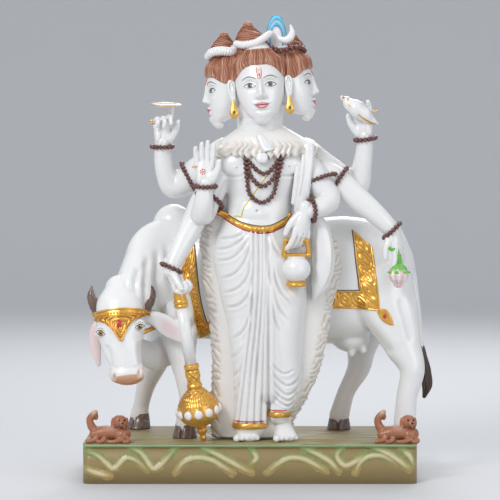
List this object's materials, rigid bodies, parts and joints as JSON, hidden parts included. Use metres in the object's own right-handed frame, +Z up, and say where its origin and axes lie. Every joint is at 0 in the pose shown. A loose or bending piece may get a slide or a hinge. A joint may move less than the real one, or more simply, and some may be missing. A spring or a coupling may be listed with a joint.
{
  "type": "dattatreya statue",
  "caption": "Painted marble shrine statue of a many-headed, many-armed standing deity before a cow, with small dogs, on a flat base.",
  "frame": {"origin": "centre of the bounding box at the base's underside", "axes": "+Z up, -Y the side that the main face looks to, +X to the viewer's right"},
  "size_m": [0.4582, 0.2, 0.608],
  "materials": {
    "painted_marble": "polished white marble with painted and gilded details"
  },
  "bodies": {
    "root": {"statue": "painted_marble"}
  },
  "joints": []
}
